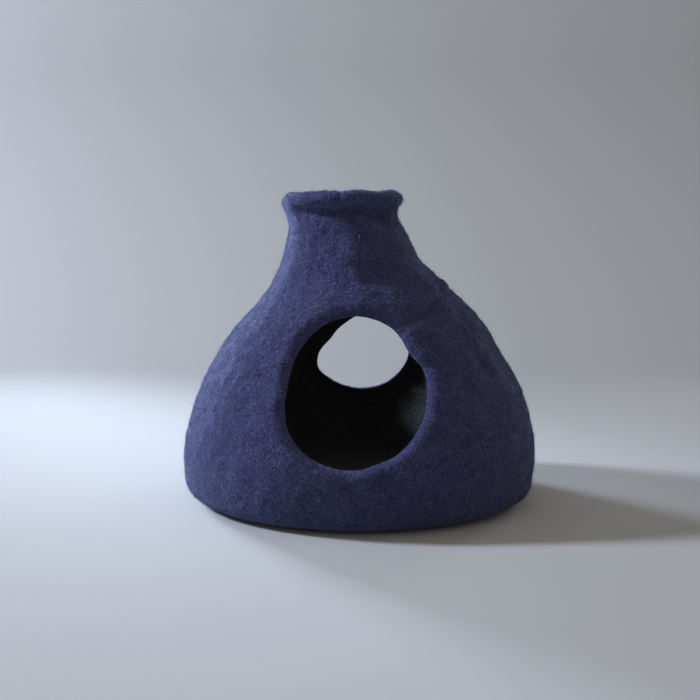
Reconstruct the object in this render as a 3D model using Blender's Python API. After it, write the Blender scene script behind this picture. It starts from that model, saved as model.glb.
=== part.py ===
"""Felt cat cave: a cat's sleeping cave in thick wool felt, made in one seamless piece.

The shell has a flat underside, a wide round belly and a neck that leans to its left,
with a rolled collar round the open mouth.  A round entrance goes through the front
wall and a smaller opening through the back wall, both with rounded, turned-in lips.

Metres, +Z up, the front faces -Y.  The origin is the middle of the underside.
"""
from collections import namedtuple

import bmesh
import bpy
import numpy as np

# ---- Driving dimensions -------------------------------------------------------------

HEIGHT = 0.430           # floor to the crest of the collar
BELLY = 0.246            # widest reach of the belly from the axis
WALL = 0.009             # thickness of the felt
COLUMNS = 72             # faces round the shell
LIP_FACES = 4            # faces over the rounded lip of an opening
LIP_SINK = 0.0035        # how far the wall turns in at a lip
LIP_REACH = 0.008        # how far from the lip the wall starts to turn in
BEND_LIMIT = 1.8         # the mesh bends round an opening out to this many times its size
SLOPE_STEP = 0.0005      # step along the skin for working out its slope
WALL_READINGS = 400      # readings of the wall's height between the floor and the crest
WOOL_COLOUR = (0.066, 0.068, 0.176, 1.0)
WOOL_ROUGHNESS = 0.95

# One row for each level section, from the middle of the underside up the wall, over the
# collar and down into the throat.  The reaches go from the axis to the outer skin, and
# `faces` is how many rows of faces lead to the next section.
Section = namedtuple("Section", "height left right front back faces")
SECTIONS = (
    Section(0.000, 0.055, 0.055, 0.055, 0.055, 1),
    Section(0.000, 0.110, 0.110, 0.107, 0.107, 1),
    Section(0.000, 0.160, 0.160, 0.154, 0.156, 1),
    Section(0.000, 0.203, 0.203, 0.194, 0.196, 1),
    Section(0.003, 0.221, 0.221, 0.207, 0.210, 1),
    Section(0.015, 0.239, 0.239, 0.224, 0.227, 2),
    Section(0.040, BELLY, 0.245, 0.235, 0.236, 2),
    Section(0.075, BELLY, BELLY, 0.239, 0.239, 2),
    Section(0.120, 0.237, 0.238, 0.233, 0.233, 2),
    Section(0.165, 0.219, 0.223, 0.221, 0.221, 2),
    Section(0.205, 0.199, 0.198, 0.202, 0.202, 2),
    Section(0.245, 0.170, 0.174, 0.175, 0.176, 2),
    Section(0.280, 0.139, 0.142, 0.146, 0.148, 2),
    Section(0.310, 0.119, 0.111, 0.119, 0.122, 1),
    Section(0.335, 0.108, 0.084, 0.102, 0.104, 1),
    Section(0.360, 0.102, 0.072, 0.090, 0.091, 1),
    Section(0.384, 0.0990, 0.0600, 0.0815, 0.0820, 1),
    Section(0.395, 0.1010, 0.0540, 0.0786, 0.0805, 1),
    Section(0.401, 0.1032, 0.0530, 0.0756, 0.0796, 1),
    Section(0.405, 0.1046, 0.0534, 0.0761, 0.0782, 1),
    Section(0.409, 0.1065, 0.0545, 0.0790, 0.0784, 1),
    Section(0.412, 0.1076, 0.0564, 0.0828, 0.0797, 1),
    Section(0.415, 0.1081, 0.0581, 0.0864, 0.0820, 1),
    Section(0.418, 0.1079, 0.0590, 0.0888, 0.0848, 1),
    Section(0.421, 0.1070, 0.0588, 0.0894, 0.0868, 1),
    Section(0.424, 0.1055, 0.0574, 0.0884, 0.0870, 1),
    Section(0.4265, 0.1034, 0.0552, 0.0862, 0.0852, 1),
    Section(0.4285, 0.1008, 0.0525, 0.0826, 0.0815, 1),
    Section(HEIGHT, 0.0960, 0.0470, 0.0760, 0.0735, 1),
    Section(0.427, 0.086, 0.040, 0.066, 0.065, 1),
    Section(0.418, 0.083, 0.036, 0.061, 0.061, 1),
    Section(0.406, 0.084, 0.037, 0.062, 0.062, 1),
    Section(0.393, 0.087, 0.040, 0.065, 0.065, 0),
)
FLOOR_EDGE = 3           # the section where the flat underside ends
THROAT_SECTION = 16      # the inner skin joins the throat at this section's level

# Openings: the side is 1 for the front wall and -1 for the back, x and z are the middle,
# and the outline is the clear opening, as its reach at angles from +X towards +Z.
Opening = namedtuple("Opening", "side x z outline")
Reach = namedtuple("Reach", "degrees reach")
ENTRANCE = Opening(1, -0.004, 0.182, (
    Reach(0, 0.0931),
    Reach(17, 0.0943),
    Reach(30, 0.0878),
    Reach(40, 0.0868),
    Reach(52, 0.0923),
    Reach(66, 0.0949),
    Reach(95, 0.0958),
    Reach(125, 0.0968),
    Reach(155, 0.0951),
    Reach(180, 0.0953),
    Reach(200, 0.1026),
    Reach(222, 0.1034),
    Reach(245, 0.0989),
    Reach(270, 0.0946),
    Reach(285, 0.0905),
    Reach(300, 0.0913),
    Reach(330, 0.0923),
    Reach(347, 0.0933),
))
BACK_WINDOW = Opening(-1, 0.005, 0.180, (
    Reach(4, 0.0770),
    Reach(45, 0.0800),
    Reach(85, 0.0760),
    Reach(110, 0.0639),
    Reach(130, 0.0608),
    Reach(150, 0.0600),
    Reach(180, 0.0723),
    Reach(198, 0.0740),
    Reach(212, 0.0680),
    Reach(240, 0.0603),
    Reach(268, 0.0575),
    Reach(300, 0.0600),
    Reach(335, 0.0676),
))
OPENINGS = (ENTRANCE, BACK_WINDOW)

# Soft hollows in the felt, and ridges where the depth is negative.  x and z are the
# middle, the tilt turns the long way from upright towards +X, in degrees.
Crease = namedtuple("Crease", "side x z across along tilt depth")
CREASES = (
    Crease(1, 0.098, 0.281, 0.011, 0.044, 66, 0.0060),
    Crease(1, 0.093, 0.296, 0.011, 0.048, 66, -0.0030),
    Crease(1, 0.150, 0.256, 0.012, 0.022, 50, -0.0022),
    Crease(1, 0.014, 0.400, 0.011, 0.036, 108, 0.0055),
    Crease(1, -0.004, 0.376, 0.026, 0.036, 0, -0.0060),
    Crease(1, 0.158, 0.210, 0.014, 0.036, -20, 0.0030),
    Crease(1, 0.030, 0.318, 0.012, 0.046, 80, 0.0036),
    Crease(1, -0.012, 0.345, 0.014, 0.050, 0, -0.0020),
    Crease(1, -0.060, 0.315, 0.016, 0.036, 8, 0.0025),
    Crease(1, -0.178, 0.206, 0.014, 0.016, 0, 0.0030),
    Crease(1, -0.140, 0.272, 0.010, 0.011, 0, -0.0026),
    Crease(1, -0.238, 0.097, 0.012, 0.012, 0, -0.0022),
    Crease(1, -0.175, 0.063, 0.012, 0.045, 5, 0.0015),
    Crease(1, -0.140, 0.070, 0.012, 0.040, 0, 0.0015),
    Crease(1, 0.214, 0.082, 0.013, 0.026, 60, 0.0025),
    Crease(1, 0.024, 0.356, 0.022, 0.036, 0, -0.0035),
    Crease(-1, -0.120, 0.270, 0.014, 0.036, 50, 0.0030),
    Crease(-1, 0.090, 0.300, 0.014, 0.034, -40, 0.0025),
    Crease(-1, 0.165, 0.120, 0.020, 0.050, 10, 0.0025),
    Crease(-1, -0.170, 0.080, 0.018, 0.045, -15, 0.0020),
)

# Rise and fall of the collar's crest, at turns counted from +X towards +Y.
Rise = namedtuple("Rise", "degrees rise")
COLLAR_WAVES = (
    Rise(10, -0.0010),
    Rise(35, -0.0030),
    Rise(60, -0.0020),
    Rise(90, -0.0030),
    Rise(125, -0.0022),
    Rise(155, -0.0036),
    Rise(185, -0.0014),
    Rise(202, -0.0006),
    Rise(217, -0.0022),
    Rise(232, -0.0010),
    Rise(250, 0.0003),
    Rise(267, 0.0004),
    Rise(285, 0.0025),
    Rise(303, 0.0008),
    Rise(320, 0.0010),
    Rise(340, 0.0018),
)
COLLAR_FOOT = 0.395      # the waves fade out down to this height


# ---- The skin as a function of turn and run -----------------------------------------

def curve_through(knots, values, at):
    """Cubic curve through the values at the knots, sloping at each knot as the parabola
    through it and its two neighbours does."""
    slopes = np.gradient(values, knots, axis=0)
    last = np.clip(np.searchsorted(knots, at, side="right") - 1, 0, len(knots) - 2)
    gap = (knots[last + 1] - knots[last])[..., None]
    part = (at - knots[last])[..., None] / gap
    return (values[last] * (2 * part**3 - 3 * part**2 + 1)
            + values[last + 1] * (3 * part**2 - 2 * part**3)
            + slopes[last] * gap * (part**3 - 2 * part**2 + part)
            + slopes[last + 1] * gap * (part**3 - part**2))


def round_curve(rows, degrees):
    """Read a table of (degrees, value) rows as one smooth curve that closes on itself."""
    table = np.array(rows, float)
    knots = np.concatenate([table[:, 0] - 360, table[:, 0], table[:, 0] + 360])
    values = np.tile(table[:, 1], 3)[:, None]
    return curve_through(knots, values, np.mod(degrees, 360))[..., 0]


PROFILE = np.array(SECTIONS, float)[:, :5]
MEAN_PROFILE = np.column_stack([PROFILE[:, 0], PROFILE[:, 1:].mean(axis=1)])
PROFILE_STEPS = np.linalg.norm(np.diff(MEAN_PROFILE, axis=0), axis=1)
# Run: the distance along the mean profile, from the underside's first section.
RUNS = np.concatenate([[0.0], np.cumsum(PROFILE_STEPS)])
CREST = int(PROFILE[:, 0].argmax())
# Readings up the wall, for finding the run at a height.
WALL_RUNS = np.linspace(RUNS[FLOOR_EDGE], RUNS[CREST], WALL_READINGS)
WALL_HEIGHTS = curve_through(RUNS, PROFILE, WALL_RUNS)[:, 0]


def section_at(run):
    """Height and the four reaches at a run, each as its own array."""
    return np.moveaxis(curve_through(RUNS, PROFILE, run), -1, 0)


def skin(turn, run):
    """Outer skin before creasing: each section is an ellipse between its four reaches,
    and the collar's crest rises and falls with the turn."""
    height, left, right, front, back = section_at(run)
    x = (right - left) / 2 + (right + left) / 2 * np.cos(turn)
    y = (back - front) / 2 + (back + front) / 2 * np.sin(turn)
    near_crest = np.clip((height - COLLAR_FOOT) / (HEIGHT - COLLAR_FOOT), 0, 1)
    rise = round_curve(COLLAR_WAVES, np.degrees(turn)) * near_crest
    return np.stack([x, y, np.maximum(height, 0) + rise], axis=-1)


def turn_and_run(side, x, z):
    """Where on the skin a point of the front or back wall lies, from its x and height."""
    run = np.interp(z, WALL_HEIGHTS, WALL_RUNS)
    _, left, right, _, _ = section_at(run)
    turn = np.arccos((x - (right - left) / 2) / ((right + left) / 2))
    return (2 * np.pi - turn if side > 0 else turn), run


def inward(turn, run):
    """Unit normal of the skin, pointing into the cave, from its slope both ways."""
    side_step = SLOPE_STEP / BELLY
    round_slope = skin(turn + side_step, run) - skin(turn - side_step, run)
    up_slope = skin(turn, run + SLOPE_STEP) - skin(turn, run - SLOPE_STEP)
    normal = np.cross(up_slope, round_slope)
    return normal / np.linalg.norm(normal, axis=-1, keepdims=True)


def crease_depth(turn, run):
    """Sum of the creases: each is a bell-shaped hollow, longer one way than the other."""
    depth = np.zeros_like(turn)
    for crease in CREASES:
        middle_turn, middle_run = turn_and_run(crease.side, crease.x, crease.z)
        _, left, right, _, _ = section_at(middle_run)
        # On both walls `sideways` grows towards +X.
        sideways = (turn - middle_turn) * (left + right) / 2 * crease.side
        upwards = run - middle_run
        tilt = np.radians(crease.tilt)
        along = upwards * np.cos(tilt) + sideways * np.sin(tilt)
        across = sideways * np.cos(tilt) - upwards * np.sin(tilt)
        bell = np.exp(-(along / crease.along) ** 2 - (across / crease.across) ** 2)
        depth += crease.depth * bell
    return depth


def felt(turn, run, depth):
    """A point of the felt, at a depth under the creased outer skin."""
    under = depth + crease_depth(turn, run)
    return skin(turn, run) + inward(turn, run) * under[..., None]


# ---- The mesh: a grid of turns and runs, bent round the openings --------------------

def grid_runs():
    """Run of each row of the grid: the sections, and the rows between them."""
    runs = []
    for section, low, high in zip(SECTIONS, RUNS, RUNS[1:]):
        runs.extend(np.linspace(low, high, section.faces, endpoint=False))
    runs.append(RUNS[-1])
    return np.array(runs)


def direction(sideways, upwards):
    """Angle of a place on a square ring, even along each side of the square, in degrees."""
    on_sides = np.abs(sideways) >= np.abs(upwards)
    widest = np.where(on_sides, sideways, upwards)
    share = np.where(on_sides, upwards, -sideways) / np.where(widest == 0, 1, widest)
    base = np.where(on_sides, 0, 90) + np.where(widest < 0, 180, 0)
    return base + 45 * share


def rim(opening, degrees, wider=0.0):
    """Turn and run of an opening's outline at the given angles, made wider all round."""
    reach = round_curve(opening.outline, degrees) + wider
    angle = np.radians(degrees)
    x = opening.x + reach * np.cos(angle)
    z = opening.z + reach * np.sin(angle)
    return turn_and_run(opening.side, x, z)


class Window:
    """The block of the grid that one opening takes out, in rows and columns."""

    def __init__(self, opening, turns, runs):
        self.opening = opening
        self.middle = turn_and_run(opening.side, opening.x, opening.z)
        side_turn, _ = rim(opening, np.array([0.0, 180.0]), WALL / 2)
        _, top_run = rim(opening, np.array([270.0, 90.0]), WALL / 2)
        columns = [int(np.abs(turns - turn).argmin()) for turn in side_turn]
        self.first_column, self.last_column = sorted(columns)
        self.first_row, self.last_row = [int(np.abs(runs - run).argmin()) for run in top_run]

    def place(self, row, column):
        """Sideways and upwards place of a node, 1 at the block's own edges."""
        half_width = (self.last_column - self.first_column) / 2
        half_height = (self.last_row - self.first_row) / 2
        sideways = (column - self.first_column) / half_width - 1
        upwards = (row - self.first_row) / half_height - 1
        return sideways * self.opening.side, upwards

    def loop(self):
        """Rows and columns of the block's edge, once round."""
        columns = np.arange(self.first_column, self.last_column)
        rows = np.arange(self.first_row, self.last_row)
        row = np.concatenate([np.full(len(columns), self.first_row), rows,
                              np.full(len(columns), self.last_row), rows[::-1] + 1])
        column = np.concatenate([columns, np.full(len(rows), self.last_column),
                                 columns[::-1] + 1, np.full(len(rows), self.first_column)])
        return row, column


def bend(window, row, column, turn, run):
    """Move the grid round an opening: its block's edge goes onto the outline, and the
    rings outside it go back to the even grid.  Also gives how far the wall turns in."""
    sideways, upwards = window.place(row, column)
    ring = np.maximum(np.abs(sideways), np.abs(upwards))
    rim_turn, rim_run = rim(window.opening, direction(sideways, upwards), WALL / 2)
    middle_turn, middle_run = window.middle
    share = np.clip((BEND_LIMIT - ring) / (BEND_LIMIT - 1), 0, 1)
    share = share * share * (3 - 2 * share)
    turn = turn + share * (middle_turn + ring * (rim_turn - middle_turn) - turn)
    run = run + share * (middle_run + ring * (rim_run - middle_run) - run)
    beyond = np.maximum(ring - 1, 0) * np.abs(rim_run - middle_run).max()
    sink = LIP_SINK * np.maximum(1 - beyond / LIP_REACH, 0) ** 2
    return turn, run, sink


def grid_faces(rows, windows):
    """Corner indices of the grid's faces, without those inside the windows."""
    row, column = np.meshgrid(np.arange(rows - 1), np.arange(COLUMNS), indexing="ij")
    kept = np.ones(row.shape, bool)
    for window in windows:
        kept &= ~((row >= window.first_row) & (row < window.last_row)
                  & (column >= window.first_column) & (column < window.last_column))
    row, column = row[kept], column[kept]
    beside = (column + 1) % COLUMNS
    return np.stack([row * COLUMNS + column, row * COLUMNS + beside,
                     (row + 1) * COLUMNS + beside, (row + 1) * COLUMNS + column], axis=-1)


def lip(window, outer_edge, inner_edge, first_vertex):
    """Rounded lip of an opening, between the edges of its outer and inner skins.  It
    leaves the outer skin on that skin's slope and meets the inner one on its own."""
    angles = direction(*window.place(*window.loop()))
    shares = np.linspace(0, 1, LIP_FACES + 1)[1:-1]
    points = []
    edges = [outer_edge]
    for number, share in enumerate(shares):
        bulge = 4 * share * (1 - share)
        turn, run = rim(window.opening, angles, WALL / 2 * (1 - bulge))
        depth = (LIP_SINK + WALL * share * share * (3 - 2 * share)
                 + WALL * bulge * LIP_SINK / LIP_REACH)
        points.append(felt(turn, run, np.full(turn.shape, depth)))
        edges.append(first_vertex + number * len(angles) + np.arange(len(angles)))
    edges.append(inner_edge)
    faces = [strip(near, far) for near, far in zip(edges, edges[1:])]
    return np.concatenate(points), np.concatenate(faces)


def strip(near, far):
    """Band of faces between two closed rows of the same number of vertices."""
    return np.stack([near, np.roll(near, -1), np.roll(far, -1), far], axis=-1)


def shell_mesh():
    """Vertices and faces of the whole shell."""
    turns = np.arange(COLUMNS) * 2 * np.pi / COLUMNS
    runs = grid_runs()
    windows = [Window(opening, turns, runs) for opening in OPENINGS]
    row, column = np.meshgrid(np.arange(len(runs)), np.arange(COLUMNS), indexing="ij")
    turn, run = turns[column], runs[row]
    sink = np.zeros(turn.shape)
    for window in windows:
        turn, run, lip_sink = bend(window, row, column, turn, run)
        sink += lip_sink

    # Rows of the inner skin end at the throat, where the collar's own inside begins.
    inner_rows = int(np.abs(runs - RUNS[THROAT_SECTION]).argmin()) + 1
    inner = slice(0, inner_rows)
    outer_points = felt(turn, run, sink).reshape(-1, 3)
    inner_points = felt(turn[inner], run[inner], sink[inner] + WALL).reshape(-1, 3)
    first_inner = len(outer_points)
    points = [outer_points, inner_points]
    faces = [grid_faces(len(runs), windows),
             grid_faces(inner_rows, windows)[:, ::-1] + first_inner]

    # The throat joins the collar's last row to the inner skin's last row.
    around = np.arange(COLUMNS)
    throat = (len(runs) - 1) * COLUMNS + around
    inner_top = first_inner + (inner_rows - 1) * COLUMNS + around
    faces.append(strip(throat, inner_top))

    for window in windows:
        loop_row, loop_column = window.loop()
        edge = loop_row * COLUMNS + loop_column
        lip_points, lip_faces = lip(window, edge, edge + first_inner,
                                    sum(len(part) for part in points))
        points.append(lip_points)
        faces.append(lip_faces)

    # The middle of the underside and of the floor inside, each closed by a fan.
    under_middle = sum(len(part) for part in points)
    points.append(np.array([[0.0, 0.0, 0.0], [0.0, 0.0, WALL]]))
    fans = [(under_middle, (around + 1) % COLUMNS, around),
            (under_middle + 1, around + first_inner, (around + 1) % COLUMNS + first_inner)]
    quads = np.concatenate(faces).tolist()
    for middle, second, third in fans:
        quads.extend([middle, int(b), int(c)] for b, c in zip(second, third))
    return np.concatenate(points), quads


# ---- Blender objects ----------------------------------------------------------------

def wool_material():
    """Dyed navy wool felt."""
    material = bpy.data.materials.new("navy_wool_felt")
    material.use_nodes = True
    shader = material.node_tree.nodes["Principled BSDF"]
    shader.inputs["Base Color"].default_value = WOOL_COLOUR
    shader.inputs["Roughness"].default_value = WOOL_ROUGHNESS
    shader.inputs["Metallic"].default_value = 0.0
    return material


def felt_shell():
    """The one solid of the cave, shaded smooth."""
    points, faces = shell_mesh()
    mesh = bpy.data.meshes.new("felt_shell")
    mesh.from_pydata(points.tolist(), [], faces)
    surface = bmesh.new()
    surface.from_mesh(mesh)
    # The grid's nodes inside the openings belong to no face.
    loose = [vertex for vertex in surface.verts if not vertex.link_faces]
    bmesh.ops.delete(surface, geom=loose, context="VERTS")
    surface.to_mesh(mesh)
    surface.free()
    mesh.shade_smooth()
    mesh.materials.append(wool_material())
    shell = bpy.data.objects.new("felt_shell", mesh)
    bpy.context.scene.collection.objects.link(shell)
    return shell


for old_object in list(bpy.data.objects):
    bpy.data.objects.remove(old_object, do_unlink=True)
felt_shell()
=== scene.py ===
"""Felt cat cave: the looks of one seamless piece of thick navy wool felt, built round the
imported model.  Metres, +Z up, the front faces -Y, and the underside lies on z = 0."""

import math
from collections import namedtuple

import bpy
import numpy as np
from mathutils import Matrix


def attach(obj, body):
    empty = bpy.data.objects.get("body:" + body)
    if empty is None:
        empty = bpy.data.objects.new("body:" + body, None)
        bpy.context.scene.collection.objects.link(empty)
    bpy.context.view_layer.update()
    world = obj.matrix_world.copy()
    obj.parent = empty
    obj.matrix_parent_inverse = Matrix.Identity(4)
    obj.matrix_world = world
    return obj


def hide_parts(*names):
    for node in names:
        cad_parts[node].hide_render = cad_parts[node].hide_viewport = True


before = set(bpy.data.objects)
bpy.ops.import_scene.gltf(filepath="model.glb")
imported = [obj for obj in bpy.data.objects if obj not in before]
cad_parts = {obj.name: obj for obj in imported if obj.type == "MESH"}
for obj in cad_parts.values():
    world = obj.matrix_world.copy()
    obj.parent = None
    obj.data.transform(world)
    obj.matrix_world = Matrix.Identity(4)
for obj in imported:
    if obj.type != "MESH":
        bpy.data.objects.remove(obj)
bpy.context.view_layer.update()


# ---- Felt shell ---------------------------------------------------------------------
# The cave itself: carded navy wool, felted wet round a flat template in one piece, so it
# has no seam.  The belly, the leaning neck, the collar that the maker rolled over by hand
# and the turned-in lips of both openings are all the same felt, about 9 mm thick.

HEIGHT = 0.430           # floor to the crest of the collar
BELLY = 0.246            # widest reach of the belly from the axis
WALL = 0.009             # thickness of the felt
COLUMNS = 352            # faces round the outer skin; the inner skin has half as many
FACE_LENGTH = 0.0036     # length of a face up the wall
UNDERSIDE_FACE = 0.016   # and under the cave, where it is flat
LIP_FACES = 8            # faces over the rounded lip of an opening
LIP_SINK = 0.0035        # how far the wall turns in at a lip
LIP_REACH = 0.008        # how far from the lip the wall starts to turn in
BEND_LIMIT = 1.8         # the mesh bends round an opening out to this many times its size
SLOPE_STEP = 0.0005      # step along the skin for working out its slope
WALL_READINGS = 400      # readings of the wall's height between the floor and the crest
THROAT_FADE = 0.05       # past the crest the navy fades to the painted charcoal shade of the inside over this run

# One row for each level section, from the middle of the underside up the wall, over the
# collar and down into the throat.  The reaches go from the axis to the outer skin.
Section = namedtuple("Section", "height left right front back")
SECTIONS = (
    Section(0.000, 0.055, 0.055, 0.055, 0.055),
    Section(0.000, 0.110, 0.110, 0.107, 0.107),
    Section(0.000, 0.160, 0.160, 0.154, 0.156),
    Section(0.000, 0.203, 0.203, 0.194, 0.196),
    Section(0.003, 0.221, 0.221, 0.207, 0.210),
    Section(0.015, 0.239, 0.239, 0.224, 0.227),
    Section(0.040, BELLY, 0.245, 0.235, 0.236),
    Section(0.075, BELLY, BELLY, 0.239, 0.239),
    Section(0.120, 0.237, 0.238, 0.233, 0.233),
    Section(0.165, 0.219, 0.223, 0.221, 0.221),
    Section(0.205, 0.199, 0.198, 0.202, 0.202),
    Section(0.245, 0.170, 0.174, 0.175, 0.176),
    Section(0.280, 0.139, 0.142, 0.146, 0.148),
    Section(0.310, 0.119, 0.111, 0.119, 0.122),
    Section(0.335, 0.108, 0.084, 0.102, 0.104),
    Section(0.360, 0.102, 0.072, 0.090, 0.091),
    Section(0.384, 0.0990, 0.0600, 0.0815, 0.0820),
    Section(0.395, 0.1010, 0.0540, 0.0786, 0.0805),
    Section(0.401, 0.1032, 0.0530, 0.0756, 0.0796),
    Section(0.405, 0.1046, 0.0534, 0.0761, 0.0782),
    Section(0.409, 0.1065, 0.0545, 0.0790, 0.0784),
    Section(0.412, 0.1076, 0.0564, 0.0828, 0.0797),
    Section(0.415, 0.1081, 0.0581, 0.0864, 0.0820),
    Section(0.418, 0.1079, 0.0590, 0.0888, 0.0848),
    Section(0.421, 0.1070, 0.0588, 0.0894, 0.0868),
    Section(0.424, 0.1055, 0.0574, 0.0884, 0.0870),
    Section(0.4265, 0.1034, 0.0552, 0.0862, 0.0852),
    Section(0.4285, 0.1008, 0.0525, 0.0826, 0.0815),
    Section(HEIGHT, 0.0960, 0.0470, 0.0760, 0.0735),
    Section(0.427, 0.086, 0.040, 0.066, 0.065),
    Section(0.418, 0.083, 0.036, 0.061, 0.061),
    Section(0.406, 0.084, 0.037, 0.062, 0.062),
    Section(0.393, 0.087, 0.040, 0.065, 0.065),
)
FLOOR_EDGE = 3           # the section where the flat underside ends
THROAT_SECTION = 16      # the inner skin joins the throat at this section's level

# Openings: the side is 1 for the front wall and -1 for the back, x and z are the middle,
# and the outline is the clear opening, as its reach at angles from +X towards +Z.
Opening = namedtuple("Opening", "side x z outline")
Reach = namedtuple("Reach", "degrees reach")
ENTRANCE = Opening(1, -0.004, 0.182, (
    Reach(0, 0.0931),
    Reach(17, 0.0943),
    Reach(30, 0.0878),
    Reach(40, 0.0868),
    Reach(52, 0.0923),
    Reach(66, 0.0949),
    Reach(95, 0.0958),
    Reach(125, 0.0968),
    Reach(155, 0.0951),
    Reach(180, 0.0953),
    Reach(200, 0.1026),
    Reach(222, 0.1034),
    Reach(245, 0.0989),
    Reach(270, 0.0946),
    Reach(285, 0.0905),
    Reach(300, 0.0913),
    Reach(330, 0.0923),
    Reach(347, 0.0933),
))
BACK_WINDOW = Opening(-1, 0.005, 0.180, (
    Reach(4, 0.0770),
    Reach(45, 0.0800),
    Reach(85, 0.0760),
    Reach(110, 0.0639),
    Reach(130, 0.0608),
    Reach(150, 0.0600),
    Reach(180, 0.0723),
    Reach(198, 0.0740),
    Reach(212, 0.0680),
    Reach(240, 0.0603),
    Reach(268, 0.0575),
    Reach(300, 0.0600),
    Reach(335, 0.0676),
))
OPENINGS = (ENTRANCE, BACK_WINDOW)

# Soft hollows in the felt, and ridges where the depth is negative.  x and z are the
# middle, the tilt turns the long way from upright towards +X, in degrees.
Crease = namedtuple("Crease", "side x z across along tilt depth")
CREASES = (
    Crease(1, 0.098, 0.281, 0.008, 0.044, 66, 0.0078),
    Crease(1, 0.093, 0.296, 0.008, 0.048, 66, -0.0042),
    Crease(1, 0.117, 0.302, 0.007, 0.020, 66, -0.0050),
    Crease(1, 0.150, 0.256, 0.012, 0.022, 50, -0.0022),
    Crease(1, -0.027, 0.425, 0.004, 0.014, 0, 0.0026),
    Crease(1, 0.018, 0.399, 0.011, 0.040, 108, 0.0078),
    Crease(1, -0.050, 0.405, 0.007, 0.042, 90, 0.0030),
    Crease(1, -0.004, 0.376, 0.026, 0.036, 0, -0.0060),
    Crease(1, 0.158, 0.210, 0.014, 0.036, -20, 0.0030),
    Crease(1, 0.030, 0.318, 0.012, 0.046, 80, 0.0036),
    Crease(1, 0.022, 0.350, 0.004, 0.012, 65, 0.0018),
    Crease(1, 0.036, 0.357, 0.004, 0.012, 60, 0.0016),
    Crease(1, -0.012, 0.345, 0.014, 0.050, 0, -0.0020),
    Crease(1, -0.060, 0.315, 0.016, 0.036, 8, 0.0025),
    Crease(1, -0.178, 0.206, 0.014, 0.016, 0, 0.0030),
    Crease(1, -0.140, 0.272, 0.010, 0.011, 0, -0.0026),
    Crease(1, -0.238, 0.097, 0.012, 0.012, 0, -0.0022),
    Crease(1, -0.175, 0.063, 0.012, 0.045, 5, 0.0015),
    Crease(1, -0.140, 0.070, 0.012, 0.040, 0, 0.0015),
    Crease(1, 0.214, 0.082, 0.013, 0.026, 60, 0.0025),
    Crease(1, 0.024, 0.356, 0.022, 0.036, 0, -0.0035),
    Crease(-1, -0.120, 0.270, 0.014, 0.036, 50, 0.0030),
    Crease(-1, 0.090, 0.300, 0.014, 0.034, -40, 0.0025),
    Crease(-1, 0.165, 0.120, 0.020, 0.050, 10, 0.0025),
    Crease(-1, -0.170, 0.080, 0.018, 0.045, -15, 0.0020),
)

# Rise and fall of the collar's crest, at turns counted from +X towards +Y.
Rise = namedtuple("Rise", "degrees rise")
COLLAR_WAVES = (
    Rise(10, -0.0010),
    Rise(35, -0.0030),
    Rise(60, -0.0020),
    Rise(90, -0.0030),
    Rise(125, -0.0022),
    Rise(155, -0.0036),
    Rise(185, -0.0014),
    Rise(202, -0.0006),
    Rise(217, -0.0022),
    Rise(232, -0.0010),
    Rise(250, 0.0003),
    Rise(267, 0.0004),
    Rise(285, 0.0025),
    Rise(303, 0.0008),
    Rise(320, 0.0010),
    Rise(340, 0.0018),
)
COLLAR_FOOT = 0.395      # the waves fade out down to this height

# Hand-felted unevenness: shallow waves of these lengths and heights over the whole skin.
# They start just above the floor and grow to their full height a little higher up.
RIPPLE_START = 0.002
RIPPLE_GROWTH = 0.02
WAVE_SPREAD = (0.75, 1.4)    # shortest and longest wave, as shares of the stated length
Ripple = namedtuple("Ripple", "length height waves seed")
RIPPLES = (
    Ripple(0.0850, 0.00050, 24, 11),
    Ripple(0.0320, 0.00040, 40, 12),
    Ripple(0.0130, 0.00016, 60, 13),
    Ripple(0.0075, 0.00010, 60, 14),
)

# Areas of the map, each from its low to its high corner: the outer skin takes the lower
# part, the inner skin lies over it, and the narrow bands stand at the right.
Area = namedtuple("Area", "low high")
OUTER_AREA = Area((0.002, 0.002), (0.998, 0.700))
INNER_AREA = Area((0.002, 0.710), (0.660, 0.998))
THROAT_AREA = Area((0.670, 0.710), (0.998, 0.730))
LIP_AREAS = (0.740, 0.840)   # where the bands of each opening's lip start, going up
LIP_BAND = 0.010         # height of one of them
FAN_SPOTS = ((0.75, 0.96), (0.90, 0.96))     # middles of the two fans at the poles
FAN_RADIUS = 0.03


def curve_through(knots, values, at):
    """Cubic curve through the values at the knots, sloping at each knot as the parabola
    through it and its two neighbours does."""
    slopes = np.gradient(values, knots, axis=0)
    last = np.clip(np.searchsorted(knots, at, side="right") - 1, 0, len(knots) - 2)
    gap = (knots[last + 1] - knots[last])[..., None]
    part = (at - knots[last])[..., None] / gap
    return (values[last] * (2 * part**3 - 3 * part**2 + 1)
            + values[last + 1] * (3 * part**2 - 2 * part**3)
            + slopes[last] * gap * (part**3 - 2 * part**2 + part)
            + slopes[last + 1] * gap * (part**3 - part**2))


def round_curve(rows, degrees):
    """Read a table of (degrees, value) rows as one smooth curve that closes on itself."""
    table = np.array(rows, float)
    knots = np.concatenate([table[:, 0] - 360, table[:, 0], table[:, 0] + 360])
    values = np.tile(table[:, 1], 3)[:, None]
    return curve_through(knots, values, np.mod(degrees, 360))[..., 0]


profile = np.array(SECTIONS, float)
mean_profile = np.column_stack([profile[:, 0], profile[:, 1:].mean(axis=1)])
# Run: the distance along the mean profile, from the underside's first section.
section_runs = np.concatenate(
    [[0.0], np.cumsum(np.linalg.norm(np.diff(mean_profile, axis=0), axis=1))])
crest = int(profile[:, 0].argmax())
wall_runs = np.linspace(section_runs[FLOOR_EDGE], section_runs[crest], WALL_READINGS)
wall_heights = curve_through(section_runs, profile, wall_runs)[:, 0]


def section_at(run):
    """Height and the four reaches at a run, each as its own array."""
    return np.moveaxis(curve_through(section_runs, profile, run), -1, 0)


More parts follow.
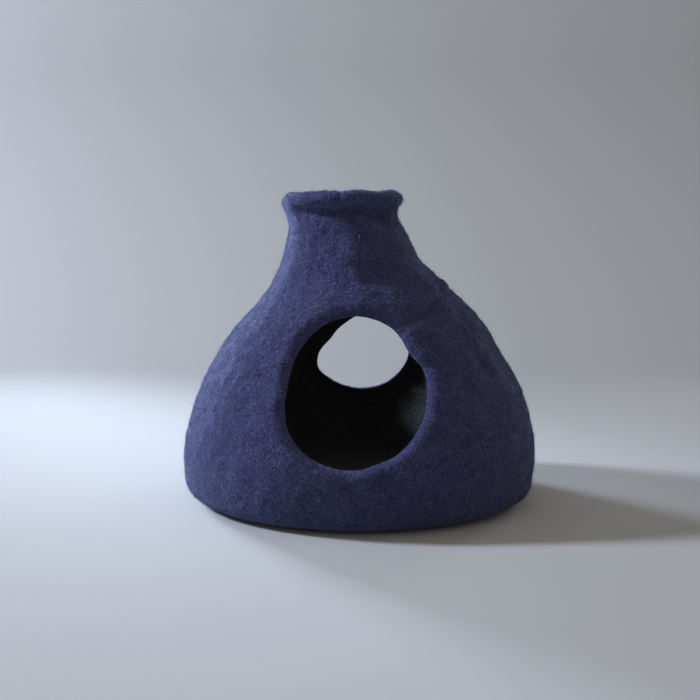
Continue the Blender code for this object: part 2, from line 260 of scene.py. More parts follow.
def skin(turn, run):
    """Outer skin before creasing: each section is an ellipse between its four reaches,
    and the collar's crest rises and falls with the turn."""
    height, left, right, front, back = section_at(run)
    x = (right - left) / 2 + (right + left) / 2 * np.cos(turn)
    y = (back - front) / 2 + (back + front) / 2 * np.sin(turn)
    near_crest = np.clip((height - COLLAR_FOOT) / (HEIGHT - COLLAR_FOOT), 0, 1)
    rise = round_curve(COLLAR_WAVES, np.degrees(turn)) * near_crest
    return np.stack([x, y, np.maximum(height, 0) + rise], axis=-1)


def turn_and_run(side, x, z):
    """Where on the skin a point of the front or back wall lies, from its x and height."""
    run = np.interp(z, wall_heights, wall_runs)
    _, left, right, _, _ = section_at(run)
    turn = np.arccos((x - (right - left) / 2) / ((right + left) / 2))
    return (2 * np.pi - turn if side > 0 else turn), run


def unit(vectors):
    """The vectors scaled to length one."""
    return vectors / np.linalg.norm(vectors, axis=-1, keepdims=True)


def inward(turn, run):
    """Unit normal of the skin, pointing into the cave, from its slope both ways."""
    side_step = SLOPE_STEP / BELLY
    round_slope = skin(turn + side_step, run) - skin(turn - side_step, run)
    up_slope = skin(turn, run + SLOPE_STEP) - skin(turn, run - SLOPE_STEP)
    return unit(np.cross(up_slope, round_slope))


def crease_depth(turn, run):
    """Sum of the creases: each is a bell-shaped hollow, longer one way than the other."""
    depth = np.zeros_like(turn)
    for crease in CREASES:
        middle_turn, middle_run = turn_and_run(crease.side, crease.x, crease.z)
        _, left, right, _, _ = section_at(middle_run)
        # On both walls `sideways` grows towards +X.
        sideways = (turn - middle_turn) * (left + right) / 2 * crease.side
        upwards = run - middle_run
        tilt = np.radians(crease.tilt)
        along = upwards * np.cos(tilt) + sideways * np.sin(tilt)
        across = sideways * np.cos(tilt) - upwards * np.sin(tilt)
        bell = np.exp(-(along / crease.along) ** 2 - (across / crease.across) ** 2)
        depth += crease.depth * bell
    return depth


def chance_waves(points, length, count, seed):
    """Field of mean square one over points: a sum of plane waves about this long, each
    of chance direction and phase."""
    chance = np.random.default_rng(seed)
    directions = unit(chance.normal(size=(count, 3)))
    lengths = length * chance.uniform(*WAVE_SPREAD, count)
    phases = chance.uniform(0, 2 * np.pi, count)
    waves = np.cos(points @ (directions / lengths[:, None] * 2 * np.pi).T + phases)
    return waves.sum(axis=-1) * math.sqrt(2 / count)


def ripple_depth(points):
    """Sum of the ripples: chance waves, each size of them at its own height."""
    return sum(ripple.height * chance_waves(points, ripple.length, ripple.waves, ripple.seed)
               for ripple in RIPPLES)


def felt(turn, run, depth):
    """A point of the felt, at a depth under the creased and rippled outer skin.  The
    underside stays flat."""
    smooth = skin(turn, run)
    above_floor = np.clip((smooth[..., 2] - RIPPLE_START) / RIPPLE_GROWTH, 0, 1)
    uneven = crease_depth(turn, run) + ripple_depth(smooth) * above_floor
    return smooth + inward(turn, run) * (depth + uneven)[..., None]


def grid_runs():
    """Run of each row of the grid.  A gap between sections has an even number of rows, so
    that the inner skin, with every second row, also has a row at each section."""
    runs = []
    for number, (low, high) in enumerate(zip(section_runs, section_runs[1:])):
        length = UNDERSIDE_FACE if number < FLOOR_EDGE else FACE_LENGTH
        rows = 2 * max(1, round((high - low) / length / 2))
        runs.extend(np.linspace(low, high, rows, endpoint=False))
    runs.append(section_runs[-1])
    return np.array(runs)


def direction(sideways, upwards):
    """Angle of a place on a square ring, even along each side of the square, in degrees."""
    on_sides = np.abs(sideways) >= np.abs(upwards)
    widest = np.where(on_sides, sideways, upwards)
    share = np.where(on_sides, upwards, -sideways) / np.where(widest == 0, 1, widest)
    base = np.where(on_sides, 0, 90) + np.where(widest < 0, 180, 0)
    return base + 45 * share


def rim(opening, degrees, wider=0.0):
    """Turn and run of an opening's outline at the given angles, made wider all round."""
    reach = round_curve(opening.outline, degrees) + wider
    angle = np.radians(degrees)
    x = opening.x + reach * np.cos(angle)
    z = opening.z + reach * np.sin(angle)
    return turn_and_run(opening.side, x, z)


class Window:
    """The block of the grid that one opening takes out, between even rows and columns."""

    def __init__(self, opening, turns, runs):
        self.opening = opening
        self.middle = turn_and_run(opening.side, opening.x, opening.z)
        side_turn, _ = rim(opening, np.array([0.0, 180.0]), WALL / 2)
        _, top_run = rim(opening, np.array([270.0, 90.0]), WALL / 2)
        columns = [2 * int(np.abs(turns[::2] - turn).argmin()) for turn in side_turn]
        self.first_column, self.last_column = sorted(columns)
        self.first_row, self.last_row = [
            2 * int(np.abs(runs[::2] - run).argmin()) for run in top_run]

    def place(self, row, column):
        """Sideways and upwards place of a node, 1 at the block's own edges."""
        half_width = (self.last_column - self.first_column) / 2
        half_height = (self.last_row - self.first_row) / 2
        sideways = (column - self.first_column) / half_width - 1
        upwards = (row - self.first_row) / half_height - 1
        return sideways * self.opening.side, upwards

    def loop(self):
        """Rows and columns of the block's edge, once round."""
        columns = np.arange(self.first_column, self.last_column)
        rows = np.arange(self.first_row, self.last_row)
        row = np.concatenate([np.full(len(columns), self.first_row), rows,
                              np.full(len(columns), self.last_row), rows[::-1] + 1])
        column = np.concatenate([columns, np.full(len(rows), self.last_column),
                                 columns[::-1] + 1, np.full(len(rows), self.first_column)])
        return row, column


def bend(window, row, column, turn, run):
    """Move the grid round an opening: its block's edge goes onto the outline, and the
    rings outside it go back to the even grid.  Also gives how far the wall turns in."""
    sideways, upwards = window.place(row, column)
    ring = np.maximum(np.abs(sideways), np.abs(upwards))
    rim_turn, rim_run = rim(window.opening, direction(sideways, upwards), WALL / 2)
    middle_turn, middle_run = window.middle
    share = np.clip((BEND_LIMIT - ring) / (BEND_LIMIT - 1), 0, 1)
    share = share * share * (3 - 2 * share)
    turn = turn + share * (middle_turn + ring * (rim_turn - middle_turn) - turn)
    run = run + share * (middle_run + ring * (rim_run - middle_run) - run)
    beyond = np.maximum(ring - 1, 0) * np.abs(rim_run - middle_run).max()
    sink = LIP_SINK * np.maximum(1 - beyond / LIP_REACH, 0) ** 2
    return turn, run, sink


def place_in(area, across, up):
    """Place on the map of a point at the given shares across and up one of its areas."""
    low, high = area
    return np.stack([low[0] + (high[0] - low[0]) * across,
                     low[1] + (high[1] - low[1]) * up], axis=-1)


def grid_faces(rows, columns, windows, step, area):
    """Corner indices of a grid's faces, without those inside the windows, and the place of
    each corner on the map.  The windows count rows and columns of the outer grid, and the
    step says how many of those one of this grid takes."""
    row, column = np.meshgrid(np.arange(rows - 1), np.arange(columns), indexing="ij")
    kept = np.ones(row.shape, bool)
    for window in windows:
        kept &= ~((row >= window.first_row // step) & (row < window.last_row // step)
                  & (column >= window.first_column // step)
                  & (column < window.last_column // step))
    row, column = row[kept], column[kept]
    corner_rows = np.stack([row, row, row + 1, row + 1], axis=-1)
    corner_columns = np.stack([column, column + 1, column + 1, column], axis=-1)
    corners = corner_rows * columns + corner_columns % columns
    return corners, place_in(area, corner_columns / columns, corner_rows / (rows - 1))


def strip(near, far, area):
    """Band of faces between two closed rows of the same number of vertices."""
    number = np.arange(len(near))
    corners = np.stack([near, np.roll(near, -1), np.roll(far, -1), far], axis=-1)
    across = np.stack([number, number + 1, number + 1, number], axis=-1) / len(near)
    up = np.broadcast_to([0, 0, 1, 1], across.shape)
    return corners, place_in(area, across, up)


def narrowing_strip(near, far, area):
    """Band of triangles from a closed row to one with half as many vertices."""
    number = np.arange(len(far))
    first, second, third = near[::2], near[1::2], np.roll(near[::2], -1)
    after = np.roll(far, -1)
    corners = np.concatenate([np.stack([first, second, far], axis=-1),
                              np.stack([second, after, far], axis=-1),
                              np.stack([second, third, after], axis=-1)])
    half, one = number + 0.5, number + 1
    across = np.concatenate([np.stack([number, half, number], axis=-1),
                             np.stack([half, one, number], axis=-1),
                             np.stack([half, one, one], axis=-1)]) / len(far)
    up = np.repeat([[0, 0, 1], [0, 1, 1], [0, 0, 1]], len(far), axis=0)
    return corners, place_in(area, across, up)


def mesh_object(name, points, faces, maps):
    """Object at the origin from points and sets of faces, with the faces' places on the
    map.  Points that no face uses are left out."""
    used = np.unique(np.concatenate([corners.ravel() for corners in faces]))
    renumbered = np.zeros(len(points), int)
    renumbered[used] = np.arange(len(used))
    corners = np.concatenate([renumbered[part].ravel() for part in faces])
    sizes = np.concatenate([np.full(len(part), part.shape[1]) for part in faces])
    mesh = bpy.data.meshes.new(name)
    mesh.vertices.add(len(used))
    mesh.vertices.foreach_set("co", points[used].astype(np.float32).ravel())
    mesh.loops.add(len(corners))
    mesh.loops.foreach_set("vertex_index", corners.astype(np.int32))
    mesh.polygons.add(len(sizes))
    mesh.polygons.foreach_set("loop_start", np.cumsum(sizes) - sizes)
    mesh.update(calc_edges=True)
    layer = mesh.uv_layers.new(name="OFBake")
    layer.uv.foreach_set("vector", np.concatenate(
        [part.reshape(-1, 2) for part in maps]).astype(np.float32).ravel())
    mesh.shade_smooth()
    shape = bpy.data.objects.new(name, mesh)
    bpy.context.scene.collection.objects.link(shape)
    return shape, used


def felt_shell():
    """The shell's mesh: a fine outer skin, half-round lips and a coarser inner skin.  Its
    attribute `inside` is 0 on the outer skin and 1 on the inner, and places the painted shade
    of the inside."""
    turns = np.arange(COLUMNS) * 2 * np.pi / COLUMNS
    runs = grid_runs()
    windows = [Window(opening, turns, runs) for opening in OPENINGS]
    row, column = np.meshgrid(np.arange(len(runs)), np.arange(COLUMNS), indexing="ij")
    turn, run = turns[column], runs[row]
    sink = np.zeros(turn.shape)
    for window in windows:
        turn, run, lip_sink = bend(window, row, column, turn, run)
        sink += lip_sink

    inner_rows = int(np.abs(runs - section_runs[THROAT_SECTION]).argmin()) // 2 + 1
    inner = (slice(0, 2 * inner_rows, 2), slice(0, None, 2))
    inner_columns = COLUMNS // 2
    points = [felt(turn, run, sink).reshape(-1, 3),
              felt(turn[inner], run[inner], sink[inner] + WALL).reshape(-1, 3)]
    first_inner = len(points[0])
    inside = [np.clip((run.ravel() - section_runs[crest]) / THROAT_FADE, 0, 1),
              np.ones(len(points[1]))]
    outer_faces, outer_map = grid_faces(len(runs), COLUMNS, windows, 1, OUTER_AREA)
    inner_faces, inner_map = grid_faces(inner_rows, inner_columns, windows, 2, INNER_AREA)
    faces = [outer_faces, inner_faces[:, ::-1] + first_inner]
    maps = [outer_map, inner_map[:, ::-1]]

    # The throat joins the collar's last row to the inner skin's last row.
    throat = (len(runs) - 1) * COLUMNS + np.arange(COLUMNS)
    inner_top = first_inner + (inner_rows - 1) * inner_columns + np.arange(inner_columns)
    bands = [narrowing_strip(throat, inner_top, THROAT_AREA)]

    # Half-round lips, whose areas of the map are as wide as the throat's.
    (left, _), (right, _) = THROAT_AREA
    for window, lip_area in zip(windows, LIP_AREAS):
        loop_row, loop_column = window.loop()
        angles = direction(*window.place(loop_row, loop_column))
        edges = [loop_row * COLUMNS + loop_column]
        for share in np.linspace(0, 1, LIP_FACES + 1)[1:-1]:
            edges.append(sum(len(part) for part in points) + np.arange(len(angles)))
            # The rounding leaves the outer skin on its slope and ends on the inner one's.
            bulge = 4 * share * (1 - share)
            lip_turn, lip_run = rim(window.opening, angles, WALL / 2 * (1 - bulge))
            depth = (LIP_SINK + WALL * share * share * (3 - 2 * share)
                     + WALL * bulge * LIP_SINK / LIP_REACH)
            points.append(felt(lip_turn, lip_run, np.full(angles.shape, depth)))
            inside.append(np.full(len(angles), share))
        levels = lip_area + np.arange(LIP_FACES + 1) * LIP_BAND
        areas = [Area((left, low), (right, high)) for low, high in zip(levels, levels[1:])]
        bands.extend(map(strip, edges, edges[1:], areas))
        inner_edge = (first_inner + loop_row[::2] // 2 * inner_columns
                      + loop_column[::2] // 2)
        bands.append(narrowing_strip(edges[-1], inner_edge, areas[-1]))
    for band, band_map in bands:
        faces.append(band)
        maps.append(band_map)

    # The middle of the underside and of the floor inside, each closed by a fan.
    for height, first, count, turned, spot in (
            (0.0, 0, COLUMNS, 1, FAN_SPOTS[0]),
            (WALL, first_inner, inner_columns, -1, FAN_SPOTS[1])):
        middle = sum(len(part) for part in points)
        points.append(np.array([[0.0, 0.0, height]]))
        inside.append(np.array([float(turned < 0)]))
        around = np.arange(count)
        fan = np.stack([np.full(count, middle), first + (around + 1) % count,
                        first + around], axis=-1)
        angle = around * 2 * np.pi / count
        after = (around + 1) * 2 * np.pi / count
        fan_map = np.array(spot) + FAN_RADIUS * np.stack(
            [np.zeros((count, 2)), np.stack([np.cos(after), np.sin(after)], axis=-1),
             np.stack([np.cos(angle), np.sin(angle)], axis=-1)], axis=1)
        faces.append(fan[:, ::turned])
        maps.append(fan_map[:, ::turned])

    shape, used = mesh_object("felt_wall", np.concatenate(points), faces, maps)
    mask = shape.data.attributes.new("inside", "FLOAT", "POINT")
    mask.data.foreach_set("value", np.concatenate(inside)[used].astype(np.float32))
    return shape


# The colour sockets of a Mix node have no names of their own.
MIX_FIRST = 6
MIX_SECOND = 7
MIX_RESULT = 2


def add_node(tree, kind, **settings):
    """New shader node with its own settings, such as an operation."""
    node = tree.nodes.new(kind)
    for setting, value in settings.items():
        setattr(node, setting, value)
    return node


def node_group(name, inputs, outputs):
    """New node group with named inputs (name, type, value) and outputs (name, type)."""
    group = bpy.data.node_groups.new(name, "ShaderNodeTree")
    for label, kind, value in inputs:
        socket = group.interface.new_socket(label, in_out="INPUT", socket_type=kind)
        if value is not None:
            socket.default_value = value
    for label, kind in outputs:
        group.interface.new_socket(label, in_out="OUTPUT", socket_type=kind)
    return (group, group.nodes.new("NodeGroupInput").outputs,
            group.nodes.new("NodeGroupOutput").inputs)


def wool_mottle():
    """Node group: the uneven dye and lie of felted wool.  Broad clouds, blotches a few
    millimetres across and fine matted fibre are summed into one shade from deep to pale,
    and the finer two also make a height."""
    group, given, made = node_group(
        "wool_mottle",
        [("Place", "NodeSocketVector", None),
         ("Deep", "NodeSocketColor", (0.02, 0.02, 0.05, 1)),
         ("Middle", "NodeSocketColor", (0.04, 0.04, 0.12, 1)),
         ("Pale", "NodeSocketColor", (0.10, 0.10, 0.22, 1)),
         ("Contrast", "NodeSocketFloat", 1.0)],
        [("Colour", "NodeSocketColor"), ("Height", "NodeSocketFloat")])
    link = group.links.new

    def layer(scale, detail, weight):
        """Noise of this scale, centred on nought and weighted."""
        noise = add_node(group, "ShaderNodeTexNoise")
        noise.inputs["Scale"].default_value = scale
        noise.inputs["Detail"].default_value = detail
        noise.inputs["Distortion"].default_value = 0.6
        centred = add_node(group, "ShaderNodeMath", operation="SUBTRACT")
        centred.inputs[1].default_value = 0.5
        weighted = add_node(group, "ShaderNodeMath", operation="MULTIPLY")
        weighted.inputs[1].default_value = weight
        link(given["Place"], noise.inputs["Vector"])
        link(noise.outputs["Fac"], centred.inputs[0])
        link(centred.outputs[0], weighted.inputs[0])
        return weighted.outputs[0]

    def added(first, second):
        """Sum of two values."""
        total = add_node(group, "ShaderNodeMath", operation="ADD")
        link(first, total.inputs[0])
        link(second, total.inputs[1])
        return total.outputs[0]

    clouds = layer(18, 3, 0.40)
    blotches = layer(100, 3, 0.60)
    fibre = layer(330, 4, 1.50)
    scaled = add_node(group, "ShaderNodeMath", operation="MULTIPLY_ADD")
    scaled.inputs[2].default_value = 0.5
    link(added(added(clouds, blotches), fibre), scaled.inputs[0])
    link(given["Contrast"], scaled.inputs[1])
    lower = add_node(group, "ShaderNodeMapRange")
    lower.inputs["From Max"].default_value = 0.5
    upper = add_node(group, "ShaderNodeMapRange")
    upper.inputs["From Min"].default_value = 0.5
    first_mix = add_node(group, "ShaderNodeMix", data_type="RGBA")
    second_mix = add_node(group, "ShaderNodeMix", data_type="RGBA")
    link(scaled.outputs[0], lower.inputs["Value"])
    link(scaled.outputs[0], upper.inputs["Value"])
    link(lower.outputs[0], first_mix.inputs["Factor"])
    link(given["Deep"], first_mix.inputs[MIX_FIRST])
    link(given["Middle"], first_mix.inputs[MIX_SECOND])
    link(upper.outputs[0], second_mix.inputs["Factor"])
    link(first_mix.outputs[MIX_RESULT], second_mix.inputs[MIX_FIRST])
    link(given["Pale"], second_mix.inputs[MIX_SECOND])
    link(second_mix.outputs[MIX_RESULT], made["Colour"])
    link(added(blotches, fibre), made["Height"])
    return group


wool_mottle_group = wool_mottle()


def felt_material():
    """Navy wool felt outside, turning past the lips and down in the throat to a charcoal that
    is painted shade for the dark inside of the cave.
    """
    material = bpy.data.materials.new("navy_wool_felt")
    material.use_nodes = True
    tree = material.node_tree
    link = tree.links.new
    shader = tree.nodes["Principled BSDF"]
    shader.inputs["Roughness"].default_value = 0.95
    shader.inputs["Specular IOR Level"].default_value = 0.15
    shader.inputs["Sheen Weight"].default_value = 0.30
    shader.inputs["Sheen Roughness"].default_value = 0.35
    shader.inputs["Sheen Tint"].default_value = (0.50, 0.66, 1.00, 1.0)
    place = add_node(tree, "ShaderNodeTexCoord").outputs["Object"]
    mottle = add_node(tree, "ShaderNodeGroup", node_tree=wool_mottle_group)
    mottle.inputs["Deep"].default_value = (0.020, 0.019, 0.052, 1)
    mottle.inputs["Middle"].default_value = (0.047, 0.048, 0.128, 1)
    mottle.inputs["Pale"].default_value = (0.098, 0.102, 0.226, 1)
    mottle.inputs["Contrast"].default_value = 1.0
    link(place, mottle.inputs["Place"])
    # The navy runs past the middle of a lip, and the painted shade of the inside has taken over
    # just before the inner skin.
    inside = add_node(tree, "ShaderNodeAttribute", attribute_name="inside")
    painted_shade_share = add_node(tree, "ShaderNodeMapRange", interpolation_type="SMOOTHSTEP")
    painted_shade_share.inputs["From Min"].default_value = 0.50
    painted_shade_share.inputs["From Max"].default_value = 0.90
    mixed = add_node(tree, "ShaderNodeMix", data_type="RGBA")
    # Painted shade: charcoal in place of the navy felt, for the shade inside the cave.
    mixed.inputs[MIX_SECOND].default_value = (0.085, 0.083, 0.085, 1)
    link(inside.outputs["Fac"], painted_shade_share.inputs["Value"])
    link(painted_shade_share.outputs[0], mixed.inputs["Factor"])
    link(mottle.outputs["Colour"], mixed.inputs[MIX_FIRST])
    link(mixed.outputs[MIX_RESULT], shader.inputs["Base Color"])
    bump = add_node(tree, "ShaderNodeBump")
    bump.inputs["Strength"].default_value = 1.0
    bump.inputs["Distance"].default_value = 0.0024
    link(mottle.outputs["Height"], bump.inputs["Height"])
    link(bump.outputs["Normal"], shader.inputs["Normal"])
    return material


felt_wall = felt_shell()
felt_wall.data.materials.append(felt_material())
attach(felt_wall, "root")
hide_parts("felt_shell")
# Unrolled, the shell is as wide as its girth and as long as the run from the middle of
# # the underside to the crest, and the cut area would be that of one side of the felt; here
# only the area of each of the shell's faces is read.
wall_areas = np.empty(len(felt_wall.data.polygons))
felt_wall.data.polygons.foreach_get("area", wall_areas)


# ---- Nap ----------------------------------------------------------------------------
# Wool ends that wet felting leaves standing out of the skin: short crimped hairs that lie
# every way, mostly navy and a few paler.  They cover the outside and both lips, and they
# are part of the same wool, so nothing fixes them.

HAIR_CORNERS = 3         # sides of a hair
HAIR_FOOT = 0.0002       # a hair starts this far under the skin
HAIR_SPREAD = (0.75, 1.3)    # thinnest and thickest, as shares of the stated radius
MIDDLE_LIFT = 0.6        # a hair's middle rises by this share of its lift
TIP_LIFT = 1.6           # and its tip by up to this share
MAP_MARGIN = 0.1         # left free all round each hair's square of the map
UNDERSIDE_LIMIT = -0.8   # no hairs where the skin faces down more than this
NAP_EDGE = 0.45          # the hairs stop this far over the lip of an opening
# Patches of deeper and paler dye: how long they are, and how far they push a hair's tint.
Patch = namedtuple("Patch", "length depth seed")
PATCHES = (
    Patch(0.055, 0.06, 41),
    Patch(0.016, 0.08, 42),
    Patch(0.006, 0.06, 43),
)
PATCH_WAVES = 40         # waves summed for each size of patch
# Coats of nap, from the one that lies closest to the one that stands up most.
Nap = namedtuple("Nap", "name hairs shortest longest radius lift crimp seed")
NAPS = (
    Nap("nap_close", 33000, 0.0030, 0.0060, 0.00014, 0.0007, 0.0007, 21),
    Nap("nap_loose", 33000, 0.0035, 0.0070, 0.00014, 0.0012, 0.0010, 22),
    Nap("nap_raised", 33000, 0.0035, 0.0080, 0.00012, 0.0018, 0.0013, 23),
)


def outer_triangles(shell):
    """Corners, normals and areas of the triangles that carry nap."""
    mesh = shell.data
    mesh.calc_loop_triangles()
    corners = np.empty(len(mesh.loop_triangles) * 3, np.int32)
    mesh.loop_triangles.foreach_get("vertices", corners)
    corners = corners.reshape(-1, 3)
    places = np.empty(len(mesh.vertices) * 3)
    mesh.vertices.foreach_get("co", places)
    normals = np.empty(len(mesh.vertices) * 3)
    mesh.vertex_normals.foreach_get("vector", normals)
    inside = np.empty(len(mesh.vertices))
    mesh.attributes["inside"].data.foreach_get("value", inside)
    places, normals = places.reshape(-1, 3), normals.reshape(-1, 3)
    outside = inside[corners].max(axis=1) < NAP_EDGE
    above = normals[corners, 2].min(axis=1) > UNDERSIDE_LIMIT
    corners = corners[outside & above]
    spots, facing = places[corners], normals[corners]
    across = np.cross(spots[:, 1] - spots[:, 0], spots[:, 2] - spots[:, 0])
    return spots, facing, np.linalg.norm(across, axis=1) / 2


def spread_over(triangles, count, chance):
    """Chance places on the triangles, as many on each as its area asks for, with the
    normal and a chance heading along the skin at each."""
    spots, facing, areas = triangles
    chosen = chance.choice(len(areas), size=count, p=areas / areas.sum())
    shares = np.sort(chance.uniform(size=(count, 2)), axis=1)
    shares = np.stack([shares[:, 0], shares[:, 1] - shares[:, 0], 1 - shares[:, 1]], axis=1)
    place = (spots[chosen] * shares[..., None]).sum(axis=1)
    normal = unit((facing[chosen] * shares[..., None]).sum(axis=1))
    heading = chance.normal(size=(count, 3))
    heading -= (heading * normal).sum(axis=1, keepdims=True) * normal
    return place, normal, unit(heading)


def tint_hairs(shape, places, shares):
    """Give each hair its tint: a chance share, pushed up or down with its neighbours by
    the patches of paler and deeper dye."""
    patches = sum(depth * chance_waves(places, length, PATCH_WAVES, seed)
                  for length, depth, seed in PATCHES)
    shades = np.clip(shares + patches, 0, 1)
    tint = shape.data.attributes.new("tint", "FLOAT", "POINT")
    each = len(shape.data.vertices) // len(shades)
    tint.data.foreach_set("value", np.repeat(shades, each).astype(np.float32))


def own_squares(hairs, face_map):
    """Places on the map of the same faces on every hair: each hair has a small square of
    its own, and the places in it are given as shares across and up."""
    rows = math.ceil(math.sqrt(hairs))
    number = np.arange(hairs)
    square = np.stack([number % rows, number // rows], axis=1)[:, None, None]
    places = (square + MAP_MARGIN + (1 - 2 * MAP_MARGIN) * face_map) / rows
    return places.reshape(-1, *face_map.shape[1:])


def nap_mesh(nap, triangles):
    """Hairs as spindles: a point at the foot, a ring at a middle that the crimp pushes
    sideways, and a point at the tip.  The lift raises the middle and, more, the tip."""
    chance = np.random.default_rng(nap.seed)
    foot, normal, heading = spread_over(triangles, nap.hairs, chance)
    sideways = np.cross(normal, heading)
    length = chance.uniform(nap.shortest, nap.longest, (nap.hairs, 1))
    crimp = chance.normal(0, nap.crimp, (nap.hairs, 1))
    # Most hairs lift less than stated, and a few two or three times as much.
    lift = nap.lift * chance.gamma(2.0, 0.5, (nap.hairs, 1))
    rise = chance.uniform(0, TIP_LIFT, (nap.hairs, 1))
    middle = foot + heading * length / 2 + sideways * crimp + normal * lift * MIDDLE_LIFT
    tip = foot + heading * length + normal * lift * rise
    foot = foot - normal * HAIR_FOOT
    along = unit(tip - foot)
    across = unit(np.cross(along, normal))
    over = np.cross(across, along)
    turn = np.arange(HAIR_CORNERS) * 2 * np.pi / HAIR_CORNERS
    radius = nap.radius * chance.uniform(*HAIR_SPREAD, (nap.hairs, 1, 1))
    ring = middle[:, None] + radius * (across[:, None] * np.cos(turn)[:, None]
                                       + over[:, None] * np.sin(turn)[:, None])
    points = np.concatenate([foot[:, None], ring, tip[:, None]], axis=1)

    side = np.arange(HAIR_CORNERS)
    after = (side + 1) % HAIR_CORNERS
    lower = np.stack([np.zeros_like(side), 1 + side, 1 + after], axis=1)
    upper = np.stack([1 + side, np.full_like(side, 1 + HAIR_CORNERS), 1 + after], axis=1)
    first = np.arange(nap.hairs)[:, None, None] * points.shape[1]
    faces = (first + np.concatenate([lower, upper])).reshape(-1, 3)
    # A third of a hair's square for each of its sides.
    low, high = side / HAIR_CORNERS, (side + 1) / HAIR_CORNERS
    middle_of_side, halfway = (low + high) / 2, np.full(HAIR_CORNERS, 0.5)
    at_foot = np.stack([middle_of_side, np.zeros(HAIR_CORNERS)], axis=1)
    at_tip = np.stack([middle_of_side, np.ones(HAIR_CORNERS)], axis=1)
    at_left = np.stack([low, halfway], axis=1)
    at_right = np.stack([high, halfway], axis=1)
    face_map = np.concatenate([np.stack([at_foot, at_left, at_right], axis=1),
                               np.stack([at_left, at_tip, at_right], axis=1)])
    shape, _ = mesh_object(nap.name, points.reshape(-1, 3), [faces],
                           [own_squares(nap.hairs, face_map)])
    tint_hairs(shape, foot, chance.uniform(size=nap.hairs))
    return shape


def hair_material(name, shades):
    """Wool hair whose colour runs through the shades as the hair's tint goes up."""
    material = bpy.data.materials.new(name)
    material.use_nodes = True
    tree = material.node_tree
    shader = tree.nodes["Principled BSDF"]
    shader.inputs["Roughness"].default_value = 0.8
    shader.inputs["Specular IOR Level"].default_value = 0.2
    shader.inputs["Sheen Weight"].default_value = 0.15
    shader.inputs["Sheen Roughness"].default_value = 0.4
    shader.inputs["Sheen Tint"].default_value = (0.50, 0.68, 1.00, 1.0)
    tint = add_node(tree, "ShaderNodeAttribute", attribute_name="tint")
    ramp = add_node(tree, "ShaderNodeValToRGB")
    stops = ramp.color_ramp.elements
    stops[0].position, stops[0].color = shades[0]
    stops[1].position, stops[1].color = shades[-1]
    for position, colour in shades[1:-1]:
        stops.new(position).color = colour
    tree.links.new(tint.outputs["Fac"], ramp.inputs["Fac"])
    tree.links.new(ramp.outputs["Color"], shader.inputs["Base Color"])
    return material


nap_wool = hair_material("navy_nap", (
    (0.00, (0.011, 0.011, 0.038, 1)),
    (0.50, (0.041, 0.045, 0.134, 1)),
    (0.85, (0.117, 0.126, 0.308, 1)),
    (1.00, (0.260, 0.276, 0.480, 1)),
))
napped_skin = outer_triangles(felt_wall)
for nap in NAPS:
    nap_piece = nap_mesh(nap, napped_skin)
    nap_piece.data.materials.append(nap_wool)
    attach(nap_piece, "root")


# ---- Curled hairs -------------------------------------------------------------------
# Longer hairs that the felting caught only at places, so they lie in loose curls on the
# skin.  A few coarse ones took less dye, and are paler than all the rest.

CURL_STEPS = 5           # rings along a curled hair of the nap
STRAY_STEPS = 14         # and along one of the coarse hairs
CURL_TURNS = (0.3, 1.3)  # fewest and most turns of a curl
CURL_SPREAD = (0.3, 1.5)     # narrowest and widest, as shares of the stated width
CURL_ASIDE = 1.5         # a curl swings this much further aside than along its run
CURL_FOOT_RISE = 0.3     # share of its rise that a curl has at its foot
END_THINNING = 0.06      # how much of the half wave is left off at both ends of a tube
Curls = namedtuple("Curls", "name hairs steps shortest longest radius wide rise seed")
NAP_CURLS = Curls("nap_curls", 6000, CURL_STEPS, 0.006, 0.014, 0.00013, 0.0016, 0.0012, 31)
STRAYS = Curls("stray_hairs", 80, STRAY_STEPS, 0.008, 0.024, 0.00016, 0.0024, 0.0016, 32)


